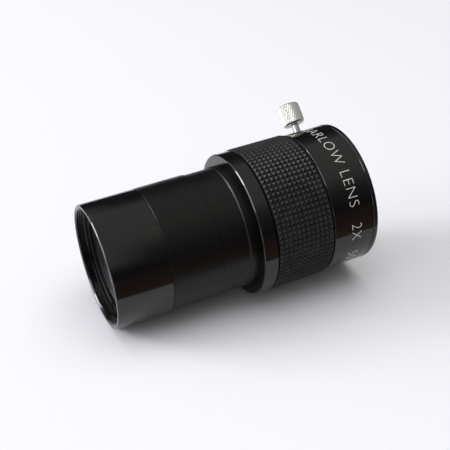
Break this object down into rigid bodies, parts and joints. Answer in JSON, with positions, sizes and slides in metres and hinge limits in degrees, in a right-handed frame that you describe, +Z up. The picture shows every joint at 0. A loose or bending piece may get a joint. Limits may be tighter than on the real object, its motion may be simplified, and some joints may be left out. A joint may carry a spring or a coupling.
{
  "type": "barlow lens",
  "caption": "Telescope barlow lens: black tube with a front lens cell, stop collar, rubber-gripped eyepiece holder and a knurled thumbscrew.",
  "frame": {"origin": "on the optical axis, in the plane of the collar's front face, which stops against a focuser", "axes": "+X along the optical axis, from the lens cell towards the eyepiece end; +Z up with the lens lying on its side, and the thumbscrew leaning 44 degrees from +Z towards +Y"},
  "size_m": [0.1108, 0.0628, 0.0638],
  "materials": {
    "gloss_black_anodised": "glossy black anodised, finely turned",
    "matte_black_anodised": "matte black anodised, finely blasted",
    "satin_black_anodised": "satin black anodised",
    "black_rubber": "matte moulded rubber with small square pyramids",
    "coated_glass": "polished optical glass with an anti-reflection coating",
    "brass": "turned brass",
    "plated_steel": "satin plated steel, diamond-knurled head"
  },
  "bodies": {
    "holder": {"eyepiece_holder": "gloss_black_anodised", "barrel_tube": "matte_black_anodised", "rubber_grip": "black_rubber", "rear_end_ring": "gloss_black_anodised"},
    "lens_cell": {"lens_cell": "gloss_black_anodised", "lens_retaining_ring": "satin_black_anodised", "front_lens_element": "coated_glass", "lens_spacer_ring": "satin_black_anodised", "rear_lens_element": "coated_glass"},
    "clamp": {"compression_ring": "brass"},
    "thumbscrew": {"thumbscrew_stud": "plated_steel", "thumbscrew_head": "plated_steel"}
  },
  "joints": [
    {"name": "lens_cell_off", "type": "slide", "parent": "holder", "child": "lens_cell", "axis": [-1, 0, 0], "range_m": [0, 0.012]},
    {"name": "clamp_press", "type": "slide", "parent": "holder", "child": "clamp", "axis": [0, -0.6947, -0.7193], "range_m": [0, 0.0005]},
    {"name": "thumbscrew_turn", "type": "hinge", "parent": "clamp", "child": "thumbscrew", "pos_m": [0.0429, 0, 0], "axis": [0, -0.6947, -0.7193], "range_deg": [0, 258]}
  ],
  "couplings": [
    {"joint": "thumbscrew_turn", "follows": "clamp_press", "rad_per_m": 8976}
  ]
}
